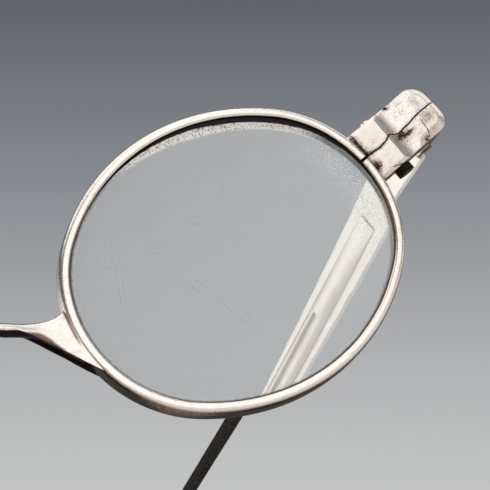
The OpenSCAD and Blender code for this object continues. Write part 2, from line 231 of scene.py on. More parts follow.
def worn_silver(name, cream, gloss, film=1.0, pitted=1.0, wavy=1.0, crumbly=0.5,
                tarnish_and_shade=(0.032, 0.022, 0.016)):
    """A finish by its clean colour and roughness, how much film and painted shade and how
    many pits it shows, how uneven it is, how much its film breaks into crumbs, and its
    darkest colour, which paints thick film and deep shade."""
    material = bpy.data.materials.new(name)
    material.use_nodes = True
    b = Bench(material.node_tree)
    place = b.node("ShaderNodeTexCoord", out="Object") * (1 / MM)
    broad, small = clouds(b, place, 2.6), clouds(b, place, 0.42, 5.0, 0.6)
    crumbs, dots = clouds(b, place, 0.15, 5.0, 0.72), clouds(b, place, 0.125, 2.0, 0.5)
    patina, rub, speckle = kept(b, "patina"), kept(b, "rub"), kept(b, "speckle")

    # The first number brings brown film and painted shade together, so the brown and near-black
    # colours below paint shade as well as film.
    coat_and_shade = patina * film * (
        1.0 + (crumbs - 0.5) * (4.0 * crumbly) + (small - 0.5) * (1.2 * crumbly))
    coat_and_shade = coat_and_shade + (broad - 0.5) * 0.16 - rub * 0.35
    brown, dark = coat_and_shade.step(0.10, 0.52), coat_and_shade.step(0.44, 0.80)
    pits = (dots + ((broad - 0.5) * 0.14 + patina * 0.03) * pitted + speckle * 0.11
            - 0.045 * (1 - pitted)).step(0.665, 0.72)
    lines = b.maths("MAXIMUM", scratches(b, place, (0.3, 0.5, 0.9), 0.07, 5.0),
                    scratches(b, place, (0.2, -0.8, 0.1), 0.05, 3.2))

    pink = tuple(c * k for c, k in zip(cream, PINKISH))
    colour = b.blend(broad.step(0.35, 0.7), cream, pink)
    colour = b.blend((rub * 0.6).clamp(), colour, RUBBED_WHITE)
    colour = b.blend(brown, colour, BROWN_FILM_AND_SHADE)
    colour = b.blend(dark, colour, tarnish_and_shade)
    colour = b.blend(pits * 0.8, colour, PIT_BROWN)
    colour = b.blend(lines * (1.0 - dark) * 0.22, colour, HAIRLINE)

    rough = gloss + brown * 0.12 + dark * 0.20 + pits * 0.18 + (small - 0.5) * 0.16 + lines * 0.08
    metal = 1.0 - dark * 0.15 - pits * 0.35
    height = broad * (0.030 * wavy) + small * (0.009 * wavy) + crumbs * dark * (0.02 * crumbly) \
        - pits * 0.014 - lines * 0.005 + dots * 0.002    # in millimetres
    bump = b.node("ShaderNodeBump", None, {"Height": height, "Strength": 1.0, "Distance": MM})
    surface = b.node("ShaderNodeBsdfPrincipled", None, {
        "Base Color": colour, "Metallic": metal.clamp(), "Roughness": rough.clamp(),
        "Normal": bump})
    b.node("ShaderNodeOutputMaterial", None, {"Surface": surface})
    return material


rim_silver = worn_silver("rim_silver", (0.955, 0.90, 0.82), 0.26, pitted=0.1, wavy=0.4,
                         crumbly=0.2, tarnish_and_shade=(0.012, 0.009, 0.008))
end_silver = worn_silver("end_piece_silver", (0.965, 0.895, 0.81), 0.33, crumbly=0.9)
arm_silver = worn_silver("arm_silver", (0.90, 0.86, 0.79), 0.52, film=0.8, pitted=0.5,
                         crumbly=0.3, tarnish_and_shade=(0.005, 0.005, 0.0045))
screw_silver = worn_silver("screw_silver", (0.62, 0.58, 0.53), 0.36)
print("finishes", rim_silver.name, end_silver.name, arm_silver.name, screw_silver.name)

# %% [markdown]
# ## Lens glass
#
# The lenses are clear but old: grime and a pale crust sit along the rim, a hazy patch
# fills one corner, and fine pits and hairlines catch the light. The left lens also has
# some larger scratches and chips. A clear glass surface is mixed with a dull film where
# any of these lie. Lamps shine through it, so a shadow ray passes almost freely.

# %% Scratches and chips of the left lens
# Where each starts and stops, from the middle of the lens, and half its width.
MARKS = [((-9.6, 8.9), (-10.5, 5.8), 0.13), ((-10.5, 5.8), (-12.4, 2.4), 0.12),
         ((-0.8, 4.8), (-1.5, 5.2), 0.18), ((-6.0, 4.6), (-6.9, 4.8), 0.2),
         ((-5.6, 0.1), (-5.3, -0.9), 0.17), ((-4.2, -2.9), (-3.6, -5.9), 0.1),
         ((-3.0, 9.0), (-2.9, 8.8), 0.12), ((2.1, 8.8), (2.3, 8.7), 0.12),
         ((0.9, 1.0), (1.0, 0.8), 0.13), ((-12.0, 6.0), (-11.7, 5.9), 0.13),
         ((1.5, -2.2), (1.7, -2.3), 0.12), ((3.4, 6.5), (2.9, 6.2), 0.08)]


def streak(x, z, start, stop, width):
    """1 on a short straight scratch between two places, fading to 0 at its width."""
    d = (stop[0] - start[0], stop[1] - start[1])
    along = (((x - start[0]) * d[0] + (z - start[1]) * d[1]) / (d[0] ** 2 + d[1] ** 2)).clamp()
    dx, dz = x - start[0] - along * d[0], z - start[1] - along * d[1]
    return (1.0 - (dx * dx + dz * dz) / width ** 2).clamp()


print("marks in the left lens", len(MARKS))


# %% The glass of the lenses
def old_glass(name):
    material = bpy.data.materials.new(name)
    material.use_nodes = True
    b = Bench(material.node_tree)
    place = b.node("ShaderNodeTexCoord", out="Object") * (1 / MM)
    near_rim, hazy, crust, soot = (kept(b, k) for k in ("near_rim", "hazy", "crust", "soot"))
    broad, fine = clouds(b, place, 3.2, 5.0, 0.62), clouds(b, place, 0.35, 4.0, 0.6)
    grit = clouds(b, place, 0.16, 3.0, 0.65)
    gritty = grit + (broad - 0.5) * 0.2
    specks = (clouds(b, place, 0.26, 1.0, 0.5) + (broad - 0.5) * 0.12).step(0.76, 0.79)
    lines = b.maths("MAXIMUM", scratches(b, place, (0.2, 1.1, 0.0), 0.05, 7.0),
                    scratches(b, place, (0.1, -0.4, 0.2), 0.045, 4.0))
    grime = (near_rim * (0.35 + fine * 0.9)).step(0.30, 0.85)
    frost = gritty.step(0.50, 0.60) * hazy
    band = (crust * (0.45 + fine * 0.55 + grit * 0.6)).step(0.34, 0.85)
    dirt = gritty.step(0.52, 0.62) * band
    # Painted shade: a near-black band on the glass along the upper rim, where the rim's inner
    # wall is in shade.
    soot = (soot * (0.55 + grit * 0.9)).step(0.35, 0.75)

    x = b.node("ShaderNodeSeparateXYZ", None, {0: place}, out=0) - LENS.x + (fine - 0.5) * 0.5
    z = b.node("ShaderNodeSeparateXYZ", None, {0: place}, out=2) - LENS.z + (broad - 0.5) * 0.8
    marks = 0.0
    for start, stop, width in MARKS:
        marks = b.maths("MAXIMUM", marks, streak(x, z, start, stop, width))
    marks = marks * (grit * 1.6 - 0.2).clamp()

    # The dull share comes from real haze, grime and marks, and from the painted shade along the
    # upper rim.
    film = (0.13 + hazy * 0.04 + (broad - 0.5) * 0.05 + frost * 0.42 + grime * 0.45
            + specks * 0.30 + lines * 0.12 + marks * 0.42 + band * 0.6 + soot * 0.9).clamp()
    tint = b.blend(grime.step(0.2, 0.9) * (1.0 - crust * 0.8),
                   (0.80, 0.81, 0.815), (0.20, 0.17, 0.14))
    tint = b.blend(b.maths("MAXIMUM", specks, marks), tint, (0.36, 0.31, 0.26))
    tint = b.blend(band, tint, (0.95, 0.91, 0.84))
    tint = b.blend(dirt, tint, (0.24, 0.17, 0.12))
    tint = b.blend(soot, tint, (0.012, 0.010, 0.009))
    clear = b.node("ShaderNodeBsdfPrincipled", None, {
        "Base Color": (0.965, 0.975, 0.97), "Roughness": 0.015, "IOR": 1.52,
        "Transmission Weight": 1.0})
    dull = b.node("ShaderNodeBsdfPrincipled", None, {
        "Base Color": tint, "Roughness": 0.65, "Specular IOR Level": 0.15})
    dirty = b.node("ShaderNodeMixShader", None, {0: film, 1: clear, 2: dull})
    free = b.node("ShaderNodeBsdfTransparent", None, {"Color": (0.93, 0.94, 0.935)})
    shadow = b.node("ShaderNodeLightPath", out="Is Shadow Ray")
    surface = b.node("ShaderNodeMixShader", None, {0: shadow * 0.92, 1: dirty, 2: free})
    b.node("ShaderNodeOutputMaterial", None, {"Surface": surface})
    return material


lens_glass = old_glass("lens_glass")
print("glass", lens_glass.name)

# %% [markdown]
# ## From a mesh in millimetres to a finished piece
#
# Every piece ends the same way: its mesh is scaled to metres, it gets its finish, it
# rides on the body that carries it, and it stands for the drawn solid that it replaces.
# The object itself stays at the origin, so a pattern lies still on the metal.

# %% Read and write the points of a mesh
def points_of(mesh, what="co"):
    """The place of each point, or with "normal" the way that it faces."""
    found = np.empty(len(mesh.vertices) * 3, np.float32)
    mesh.vertices.foreach_get(what, found)
    return found.reshape(-1, 3).astype(float)


def move_points(mesh, co):
    mesh.vertices.foreach_set("co", co.astype(np.float32).ravel())
    mesh.update()


def edges_of(mesh):
    """The two points of each edge, and how many edges meet at each point."""
    ends = np.empty(len(mesh.edges) * 2, np.int32)
    mesh.edges.foreach_get("vertices", ends)
    i, j = ends.reshape(-1, 2).T
    n = len(mesh.vertices)
    return i, j, np.maximum(np.bincount(i, minlength=n) + np.bincount(j, minlength=n), 1)


def keep(mesh, name, numbers):
    """Stores a number from 0 to 1 on each point, for the finish to read."""
    layer = mesh.attributes.get(name) or mesh.attributes.new(name, "FLOAT", "POINT")
    layer.data.foreach_set("value", np.clip(numbers, 0, 1).astype(np.float32))


# %% Finish a piece and hand it over
def object_of(name, mesh):
    made = bpy.data.objects.new(name, mesh)
    bpy.context.scene.collection.objects.link(made)
    return made


def settle(made):
    """Turns an object and its modifiers into one plain mesh."""
    bpy.context.view_layer.update()
    graph = bpy.context.evaluated_depsgraph_get()
    mesh = bpy.data.meshes.new_from_object(made.evaluated_get(graph))
    made.modifiers.clear()
    made.data = mesh
    return made


def turn_out(mesh):
    """Makes every face of a closed mesh point outwards."""
    shell = bmesh.new()
    shell.from_mesh(mesh)
    bmesh.ops.recalc_face_normals(shell, faces=shell.faces)
    shell.to_mesh(mesh)
    shell.free()


def finish(made, material, body, slot, *nodes):
    made.data.transform(Matrix.Scale(MM, 4))
    made.data.materials.clear()
    made.data.materials.append(material)
    made.data.polygons.foreach_set("use_smooth", [True] * len(made.data.polygons))
    made.data.update()
    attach(made, body)
    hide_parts(*nodes)
    made.data.calc_loop_triangles()
    print(f"{made.name}: {len(made.data.loop_triangles)} triangles on {body}")


# %% Slopes and humps to paint with
def rise(value, start, over):
    """0 up to start, and a straight rise to 1 over the given distance."""
    return np.clip((value - start) / over, 0, 1)


def fall(value, stop, over):
    """A straight fall from 1 over the given distance, to 0 at stop and beyond."""
    return np.clip((stop - value) / over, 0, 1)


def hump(value, at, wide):
    """1 at one place, and a soft fall to 0 on both sides of it."""
    return np.exp(-((value - at) / wide) ** 2)


print("half way up a rise", rise(1.5, 1, 1), "and one width from a hump", round(hump(1, 0, 1), 3))

# %% [markdown]
# ## The path of a rim
#
# A rim follows the oval all the way round, and stops at the small opening that the end
# piece clamps. A point of the oval is found from the direction in which its wall faces:
# that direction says which arc it is on, and the arc gives the point.

# %% The oval by the direction it faces
CORNER = math.atan2(4, 3)


def oval_point(angle):
    """A point of the oval in X and Z, from its middle, and the way that it faces."""
    a = math.remainder(angle, 2 * math.pi)
    face = np.array([math.cos(a), math.sin(a)])
    if abs(a) < CORNER:
        return np.array([3 * UNIT, 0]) + END_R * face, face
    if abs(a) > math.pi - CORNER:
        return np.array([-3 * UNIT, 0]) + END_R * face, face
    up = 1 if a > 0 else -1
    return np.array([0, -up * 4 * UNIT]) + SIDE_R * face, face


def even_angles(start, stop, gap):
    """Directions whose points of the oval lie about gap millimetres apart."""
    found, a = [start], start
    while a < stop:
        r = END_R if abs(math.sin(a)) < 0.8 else SIDE_R
        a += gap / r
        found.append(min(a, stop))
    return found


gap_start = math.asin((END_UP + RIM_GAP / 2) / END_R)
gap_stop = 2 * math.pi + math.asin((END_UP - RIM_GAP / 2) / END_R)
rim_angles = even_angles(gap_start, gap_stop, 0.3)
print("points on the path of a rim", len(rim_angles))


# %% The oval seen from a point of a mesh
def oval_offset(co, side):
    """How far each point lies outside the oval, measured in the plane of the rims."""
    x, z = np.abs(side * co[:, 0] - LENS.x), np.abs(co[:, 2] - LENS.z)
    end = np.hypot(x - 3 * UNIT, z) - END_R
    flat = np.hypot(x, z + 4 * UNIT) - SIDE_R
    return np.where(z * 3 < (x - 3 * UNIT) * 4, end, flat)


def around_oval(x, z):
    """Degrees round the oval: 0 at the end piece, 90 at the top, 180 at the bridge."""
    return np.degrees(np.arctan2(z / OVAL_H, x / OVAL_W))


# %% [markdown]
# ## The rims, grown by Geometry Nodes
#
# On the real object a rim is a flat wire, bent round the lens. In Geometry Nodes that is
# a section swept along a path. The section is a rectangle whose outer corners are rounder
# than its inner ones, with a shallow groove for the lens. A rule then files it flat where
# the end piece sits, and shaves it a few hundredths unevenly, as hand work is.

# %% The tree that sweeps a rim
RIM_SIZES = ("Wire Width", "Wire Depth", "Outer Rounding", "Inner Rounding", "Groove Depth",
             "Groove Width", "Seat", "Side", "Shaved", "Middle")


def rim_tree():
    tree = bpy.data.node_groups.new("rim_sweep", "GeometryNodeTree")
    plugs = tree.interface
    plugs.new_socket("Geometry", in_out="INPUT", socket_type="NodeSocketGeometry")
    for label in RIM_SIZES:
        plugs.new_socket(label, in_out="INPUT", socket_type="NodeSocketFloat")
    plugs.new_socket("Finish", in_out="INPUT", socket_type="NodeSocketMaterial")
    plugs.new_socket("Geometry", in_out="OUTPUT", socket_type="NodeSocketGeometry")
    b = Bench(tree)
    given = tree.nodes.new("NodeGroupInput")
    spot = b.node("GeometryNodeInputPosition")
    x, y, z = (b.node("ShaderNodeSeparateXYZ", None, {0: spot}, out=i) for i in range(3))

    def take(label):
        return Value(b, given.outputs[label])

    section = b.node("GeometryNodeCurvePrimitiveQuadrilateral", {"mode": "RECTANGLE"},
                     {"Width": take("Wire Width"), "Height": take("Wire Depth")}, out="Curve")
    outer = b.maths("GREATER_THAN", x, 0.0)
    round_by = take("Inner Rounding") + (take("Outer Rounding") - take("Inner Rounding")) * outer
    section = b.node("GeometryNodeFilletCurve", {"mode": "POLY"},
                     {"Curve": section, "Count": 8, "Radius": round_by, "Limit Radius": True})
    section = b.node("GeometryNodeResampleCurve", {"mode": "COUNT"},
                     {"Curve": section, "Count": 88})
    off_middle = b.maths("ABSOLUTE", y, 0.0) / (take("Groove Width") * 0.5)
    dent = b.maths("MAXIMUM", 1.0 - off_middle, 0.0) * take("Groove Depth") * (1.0 - outer)
    section = b.node("GeometryNodeSetPosition", None, {
        "Geometry": section, "Offset": b.node("ShaderNodeCombineXYZ", None, {0: dent})})

    path = b.node("GeometryNodeMeshToCurve", None, {0: take("Geometry")})
    outward = b.node("GeometryNodeInputNamedAttribute", {"data_type": "FLOAT_VECTOR"},
                     {"Name": "outward"})
    path = b.node("GeometryNodeSetCurveNormal", {"mode": "FREE"},
                  {"Curve": path, "Normal": outward})
    wire = b.node("GeometryNodeCurveToMesh", None,
                  {"Curve": path, "Profile Curve": section, "Fill Caps": True})

    uneven = clouds(b, spot, 3.5, 3.0) + clouds(b, spot, 0.9, 2.0) * 0.4
    away = b.node("GeometryNodeInputNormal") * (uneven * take("Shaved") * -1.0)
    wire = b.node("GeometryNodeSetPosition", None, {"Geometry": wire, "Offset": away})
    along = b.maths("MINIMUM", x * take("Side") - take("Middle"), take("Seat"))
    filed = b.node("ShaderNodeCombineXYZ", None, {
        0: (along + take("Middle")) * take("Side"), 1: y, 2: z})
    wire = b.node("GeometryNodeSetPosition", None, {"Geometry": wire, "Position": filed})
    wire = b.node("GeometryNodeRealizeInstances", None, {"Geometry": wire})
    wire = b.node("GeometryNodeSetMaterial", None,
                  {"Geometry": wire, "Material": take("Finish")})
    b.node("NodeGroupOutput", None, {"Geometry": wire})
    return tree


rim_sweep = rim_tree()
print("nodes in the rim's tree", len(rim_sweep.nodes))


# %% Bend a rim
def set_inputs(modifier, **given):
    """Sets a Geometry Nodes modifier's inputs by the identifier of each socket."""
    for item in modifier.node_group.interface.items_tree:
        if item.item_type == "SOCKET" and item.in_out == "INPUT":
            key = item.name.lower().replace(" ", "_")
            if key in given:
                modifier[item.identifier] = given[key]


def bend_rim(side, name):
    points, faces = zip(*[oval_point(a) for a in rim_angles])
    mesh = bpy.data.meshes.new(name)
    mesh.from_pydata([(side * (LENS.x + p[0]), LENS.y, LENS.z + p[1]) for p in points],
                     [(i, i + 1) for i in range(len(points) - 1)], [])
    ways = np.array([(side * f[0], 0, f[1]) for f in faces], np.float32)
    outward = mesh.attributes.new("outward", "FLOAT_VECTOR", "POINT")
    outward.data.foreach_set("vector", ways.ravel())
    made = object_of(name, mesh)
    sweep = made.modifiers.new("sweep", "NODES")
    sweep.node_group = rim_sweep
    set_inputs(sweep, wire_width=WIRE_W, wire_depth=WIRE_D, outer_rounding=0.55,
               inner_rounding=0.4, groove_depth=0.45, groove_width=1.0, seat=SEAT_X,
               side=float(side), shaved=0.05, middle=LENS.x, finish=rim_silver)
    settle(made)
    turn_out(made.data)
    return made


# %% [markdown]
# ### Where film and painted shade go on a rim
#
# Film stays where fingers and cloth don't rub. Shade is painted on the sides of the wire
# that face away from the light: the outer wall, most towards the bottom, the inner wall
# at the top, and the back. Both are placed by two angles of each point: round_by goes
# round the section of the wire, from 0 at the front to 90 on the outer side and -90 on
# the inner side, and around goes round the oval.

# %% Bend both rims, stain them and paint their shade
def stain_and_shade_rim(mesh, side):
    co, facing = points_of(mesh), points_of(mesh, "normal")
    x, z = side * co[:, 0] - LENS.x, co[:, 2] - LENS.z
    at_end = np.abs(z) * 3 < (np.abs(x) - 3 * UNIT) * 4
    outward = np.stack([np.where(at_end, x - 3 * UNIT * np.sign(x), x),
                        np.where(at_end, z, z + 4 * UNIT * np.sign(z))], 1)
    outward /= np.linalg.norm(outward, axis=1, keepdims=True)
    round_by = np.degrees(np.arctan2(
        side * facing[:, 0] * outward[:, 0] + facing[:, 2] * outward[:, 1], -facing[:, 1]))
    around = around_oval(x, z)

    def patch(at, wide):
        return hump((around - at + 180) % 360 - 180, 0, wide)

    # These two feed painted shade: the wire is darker further back and towards the bottom of the
    # oval.
    depth = rise(co[:, 1] - LENS.y, -1.0, 1.7)
    below = 0.42 / (1 + np.exp((z - 2) / 1.5))
    blotches = 0.8 * patch(-172, 15) + 0.75 * patch(-112, 18) + 0.4 * patch(-70, 24)
    # The outer wall: brown film and painted shade, darker towards the bottom, further back and in
    # patches.
    film_and_shade_out = rise(round_by, 20, 42) * (
        0.12 + below + (0.35 + 0.65 * depth) * blotches + 0.10 * depth)
    # The inner wall: painted shade, darkest at the top where it faces down, and a brown line of
    # film on the inner rounding towards the bridge.
    shade_and_film_in = rise(-round_by, 42, 22) * np.clip(0.45 + 0.6 * patch(75, 75), 0, 1) \
        + 0.5 * rise(-round_by, 14, 20) * patch(140, 34)
    # The back of the wire: painted shade.
    shade_back = 0.3 * rise(np.abs(round_by), 110, 40)
    keep(mesh, "patina", 0.04 + np.maximum(np.maximum(film_and_shade_out, shade_and_film_in), shade_back))
    keep(mesh, "rub", 0.15 * hump(round_by, 0, 40))
    keep(mesh, "speckle", 0.75 * patch(-30, 22) + 0.75 * patch(8, 16) + 0.5 * patch(160, 18)
         + 0.7 * patch(122, 12))


for side, word in SIDES:
    rim = bend_rim(side, word + "_rim_wire")
    stain_and_shade_rim(rim.data, side)
    finish(rim, rim_silver, "front", "silver", word + "_rim")

# %% [markdown]
# ## The lenses
#
# A lens is ground thin, with two very shallow domes and a sloped edge that sits in the
# groove. A grid of rings gives a smooth dome with no pinch: each ring is the oval made
# smaller. Each point keeps how near the rim it is, for the grime, how much haze and pale
# crust lie on it, and how much shade is painted along its edge at the upper rim.

# %% Grind a lens
LENS_EDGE, FACE_R = 1.3, 250.0         # its thickness at the rim, and the radius of its faces
BORDER = WIRE_W / 2 + 0.04             # from the middle of the wire to the foot of the slope
BEVEL_TIP, BEVEL_HALF = 0.165, 0.46    # the sloped edge: where its tip lies, half its width
LENS_RINGS = 26


def half_thick(r):
    return LENS_EDGE / 2 + math.sqrt(FACE_R ** 2 - r * r) - math.sqrt(FACE_R ** 2 - HALF_W ** 2)


def ring_faces(start, rings, n):
    """Faces between rings of n points each, whose first point has the number start."""
    return [(a + j, a + (j + 1) % n, a + n + (j + 1) % n, a + n + j)
            for a in range(start, start + (rings - 1) * n, n) for j in range(n)]


def grind_lens(side, name):
    angles = even_angles(0, 2 * math.pi, 0.5)[:-1]
    shares = [1 - (1 - i / LENS_RINGS) ** 1.6 for i in range(1, LENS_RINGS + 1)]

    def ring(share, offset, level=None):
        row = []
        for a in angles:
            p, f = oval_point(a)
            q = (p + f * offset) * share
            row.append((q[0], -half_thick(math.hypot(*q)) if level is None else level, q[1]))
        return row

    front = [ring(share, -BORDER) for share in shares]
    rows = front + [ring(1, -BORDER, -BEVEL_HALF), ring(1, -BEVEL_TIP, 0.0),
                    ring(1, -BORDER, BEVEL_HALF)]
    rows += [[(x, -y, z) for x, y, z in row] for row in reversed(front)]
    n = len(angles)
    verts = [(0, -half_thick(0), 0)] + [p for row in rows for p in row] + [(0, half_thick(0), 0)]
    last = 1 + (len(rows) - 1) * n
    faces = [(0, 1 + (j + 1) % n, 1 + j) for j in range(n)] + ring_faces(1, len(rows), n)
    faces += [(len(verts) - 1, last + j, last + (j + 1) % n) for j in range(n)]
    mesh = bpy.data.meshes.new(name)
    mesh.from_pydata([(side * (LENS.x + x), LENS.y + y, LENS.z + z) for x, y, z in verts],
                     [], faces)
    turn_out(mesh)
    return object_of(name, mesh)


# %% Grind both lenses, stain them and paint shade along the upper rim
def stain_and_shade_lens(mesh, side):
    co, facing = points_of(mesh), points_of(mesh, "normal")
    inside = -(oval_offset(co, side) + BORDER)
    around = around_oval(side * co[:, 0] - LENS.x, co[:, 2] - LENS.z)
    keep(mesh, "near_rim", np.exp(-np.maximum(inside, 0) / 0.38))
    keep(mesh, "hazy", fall(np.abs(around + 4), 38, 20) * hump(inside, 2.2, 1.5))
    crust_edge = 1.75 - 0.95 * rise(around, 72, 40)
    crust = fall(inside, crust_edge, 0.6) * fall(np.abs(around - 66), 60, 34)
    keep(mesh, "crust", crust * (facing[:, 1] < 0.1))
    # How far the painted shade of the rim's inner wall reaches into the glass, widest on the
    # upper rim.
    rim_shade_edge = 0.68 * fall(np.abs(around - 48), 74, 60) - 0.01
    keep(mesh, "soot", fall(inside, rim_shade_edge, 0.22))


for side, word in SIDES:
    lens = grind_lens(side, word + "_lens_glass")
    stain_and_shade_lens(lens.data, side)
    finish(lens, lens_glass, "front", "glass", word + "_lens")
    lens.data.set_sharp_from_angle(angle=math.radians(24))

# %% [markdown]
# ## The bridge
#
# The bridge is one wire, forged to an arch whose ends are hammered out into feet and
# soldered to the rims. It is a chain of rings: round ones along the arch, then rings that
# widen along a soft curve until they lie against the wire of the rim. The lower side of a
# foot runs out further, squarer and slightly hollow, as the hammer leaves it.

# %% Where the rings of the bridge lie
BRIDGE_R = 0.65                                     # half the wire's thickness
ARCH_TOP, ARCH_R, ARCH_FORWARD = 8.0, 10.0, 1.5     # its height, radius and forward bow
ARCH_MIDDLE = ARCH_TOP - ARCH_R
ARCH_END, ARCH_LEVEL = 35.0, 75.0                   # degrees from its top: its end, no bow left
FOOT_UP, FOOT_DOWN, FOOT_DEPTH = 5.5, 6.0, 1.85     # a foot's reach on the rim, and its depth
FOOT_SINK, HAMMERED = 0.15, 0.6                     # how far it runs into the wire, its hollow
LEAD, LAND = (2.75, 7.0), (2.2, 3.5)                # how stiffly it leaves and lands: top, bottom


def cosd(a):
    return math.cos(math.radians(a))


def sind(a):
    return math.sin(math.radians(a))


def arch_point(a, t):
    """A point of the arch, a degrees from its top and t degrees round the wire."""
    forward = ARCH_FORWARD * (0.5 + 0.5 * cosd(180 * a / ARCH_LEVEL))
    r = ARCH_R + BRIDGE_R * cosd(t)
    return Vector((r * sind(a), -forward + BRIDGE_R * sind(t), ARCH_MIDDLE + r * cosd(a)))


def foot_point(t):
    """A point of the foot's outline on the wire of the rim, a softened rectangle."""
    c, d = (math.copysign(abs(v) ** e, v) for v, e in ((cosd(t), 0.7), (sind(t), 0.62)))
    z = (FOOT_UP - FOOT_DOWN) / 2 + c * (FOOT_UP + FOOT_DOWN) / 2
    reach = math.sqrt((END_R - FOOT_SINK) ** 2 - z * z)
    return Vector((LENS.x - 3 * UNIT - reach, FOOT_DEPTH / 2 * d, z))


def lowness(t):
    """0 on the upper side of a ring, and 1 at its lowest point."""
    return math.sqrt(max(0.0, -cosd(t)))


def foot_ring(u, t):
    """A point on the curve from the arch, at u = 0, to the rim, at u = 1."""
    a, e = arch_point(ARCH_END, t), foot_point(t)
    leave = Vector((cosd(ARCH_END), ARCH_FORWARD * sind(180 * ARCH_END / ARCH_LEVEL) / ARCH_R,
                    -sind(ARCH_END))).normalized()
    land = Vector((1, 0, cosd(t) * (0.95 if cosd(t) > 0 else 1.9))).normalized()
    lead, land_by = (first + (last - first) * lowness(t) for first, last in (LEAD, LAND))
    b, c = a + lead * leave, e - land_by * land
    hollow = HAMMERED * lowness(t) * 4 * u * (1 - u) * Vector((0.85, 0, 0.53))
    return (1 - u) ** 3 * a + 3 * (1 - u) ** 2 * u * b + 3 * (1 - u) * u * u * c + u ** 3 * e \
        + hollow


print("a foot reaches down to", [round(v, 2) for v in foot_point(180)])

# %% Forge the bridge, stain it and paint its shade
AROUND, ARCH_RINGS, FOOT_RINGS = 72, 36, 48


def forge_bridge(name):
    """The bridge, and for each point its share of the way down the foot and its turn
    round the wire, which is 0 on top, 90 behind, 180 below and 270 in front."""
    turns = [360 * j / AROUND for j in range(AROUND)]
    arch_share = [i / ARCH_RINGS for i in range(1, ARCH_RINGS + 1)]
    foot_share = [i / FOOT_RINGS for i in range(1, FOOT_RINGS + 1)]
    half = [[arch_point(ARCH_END * s, t) for t in turns] for s in arch_share]
    half += [[foot_ring(s, t) for t in turns] for s in foot_share]
    flip = [[Vector((-p.x, p.y, p.z)) for p in row] for row in reversed(half)]
    rows = flip + [[arch_point(0, t) for t in turns]] + half
    n = len(turns)
    verts = [p + Vector((0, LENS.y, LENS.z)) for row in rows for p in row]
    for s in (-1, 1):
        verts.append(Vector((s * (LENS.x - HALF_W + 0.1), LENS.y,
                             LENS.z + (FOOT_UP - FOOT_DOWN) / 2)))
    top = (len(rows) - 1) * n
    faces = ring_faces(0, len(rows), n)
    faces += [(len(verts) - 2, (j + 1) % n, j) for j in range(n)]
    faces += [(len(verts) - 1, top + j, top + (j + 1) % n) for j in range(n)]
    mesh = bpy.data.meshes.new(name)
    mesh.from_pydata(verts, [], faces)
    turn_out(mesh)
    share = np.repeat([0] * ARCH_RINGS + foot_share, n)
    share = np.concatenate([share[::-1], [0] * n, share, [1, 1]])
    return object_of(name, mesh), share, np.append(np.tile(turns, len(rows)), [180, 180])


def stain_and_shade_bridge(mesh, share, turn):
    co, facing = points_of(mesh), points_of(mesh, "normal")
    # Painted shade on the back and underside of the wire, reaching round onto the lower front of
    # the feet; black darkens it further along the arch, on the back and on the lower feet.
    edge = 249 + 44 * hump(share, 0.38, 0.28)
    wall = fall(turn, edge, 12) * rise(turn, 60, 40)
    black = 0.45 * hump(share, 0, 0.13) + 0.35 * fall(turn, 120, 20) \
        + 0.5 * rise(share, 0.5, 0.25) * fall(turn, 236, 25)
    solder = np.where(co[:, 0] > 0, oval_offset(co, 1), oval_offset(co, -1)) - WIRE_W / 2
    crease = hump(solder, 0, 0.14) * rise(co[:, 2] - LENS.z, 0.5, 1.5)
    keep(mesh, "patina", 0.04 + wall * (0.58 + black) + 0.6 * crease)
    keep(mesh, "rub", 0.25 * rise(-facing[:, 1], 0.3, 1))


bridge, share, turn = forge_bridge("bridge_wire")
stain_and_shade_bridge(bridge.data, share, turn)
finish(bridge, rim_silver, "front", "silver", "bridge")

# %% [markdown]
# ## Casting from the drawn solids
#
# The end pieces and arms have the right shape already, but with edges as sharp as a
# drawing. A copy is remeshed into even small squares and smoothed a little, which rounds
# every edge as years of polishing do. Sloping pieces are laid level first, so that the
# squares follow their faces.

# %% Copy, remesh and soften
def copy_solid(name, node, level=None):
    """A copy of a drawn solid in millimetres, laid level by undoing the given placement."""
    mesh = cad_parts[node].data.copy()
    mesh.transform(Matrix.Scale(1 / MM, 4))
    shell = bmesh.new()
    shell.from_mesh(mesh)
    bmesh.ops.remove_doubles(shell, verts=shell.verts, dist=0.002)
    shell.to_mesh(mesh)
    shell.free()
    if level is not None:
        mesh.transform(level.inverted())
    return object_of(name, mesh)


def soften(made, voxel, passes, level=None):
    """Remeshes a closed piece into squares of that size and rounds its edges."""
    made.data.materials.clear()
    remesh = made.modifiers.new("squares", "REMESH")
    remesh.mode, remesh.voxel_size, remesh.adaptivity = "VOXEL", voxel, 0.0
    smooth = made.modifiers.new("polish", "SMOOTH")
    smooth.factor, smooth.iterations = 0.5, passes
    settle(made)
    if level is not None:
        made.data.transform(level)
    return made


def hollowness(mesh):
    """Above 0 where a point lies below its neighbours, and below 0 on an edge."""
    co, normal = points_of(mesh), points_of(mesh, "normal")
    i, j, count = edges_of(mesh)
    d = co[j] - co[i]
    d /= np.maximum(np.linalg.norm(d, axis=1, keepdims=True), 1e-9)
    n = len(co)
    h = (np.bincount(i, (normal[i] * d).sum(1), n)
         - np.bincount(j, (normal[j] * d).sum(1), n)) / count
    for _ in range(3):
        h = 0.5 * h + 0.5 * (np.bincount(i, h[j], n) + np.bincount(j, h[i], n)) / count
    return h


# %% [markdown]
# ## The split end pieces
#
# Each end piece is cut lengthwise into two halves, and a screw pulls them together to
# clamp the lens. Brown film gathers where a cloth can't reach: along the seam and in the
# hollow across the front. Shade is painted next to the rim, where the rim stands in front
# of the flat, and on the faces that turn back or look down. Small nicks are pressed into
# the top edge.
# Places on it are given by u, the distance from the rim, and v, the height above the
# seam's straight line.

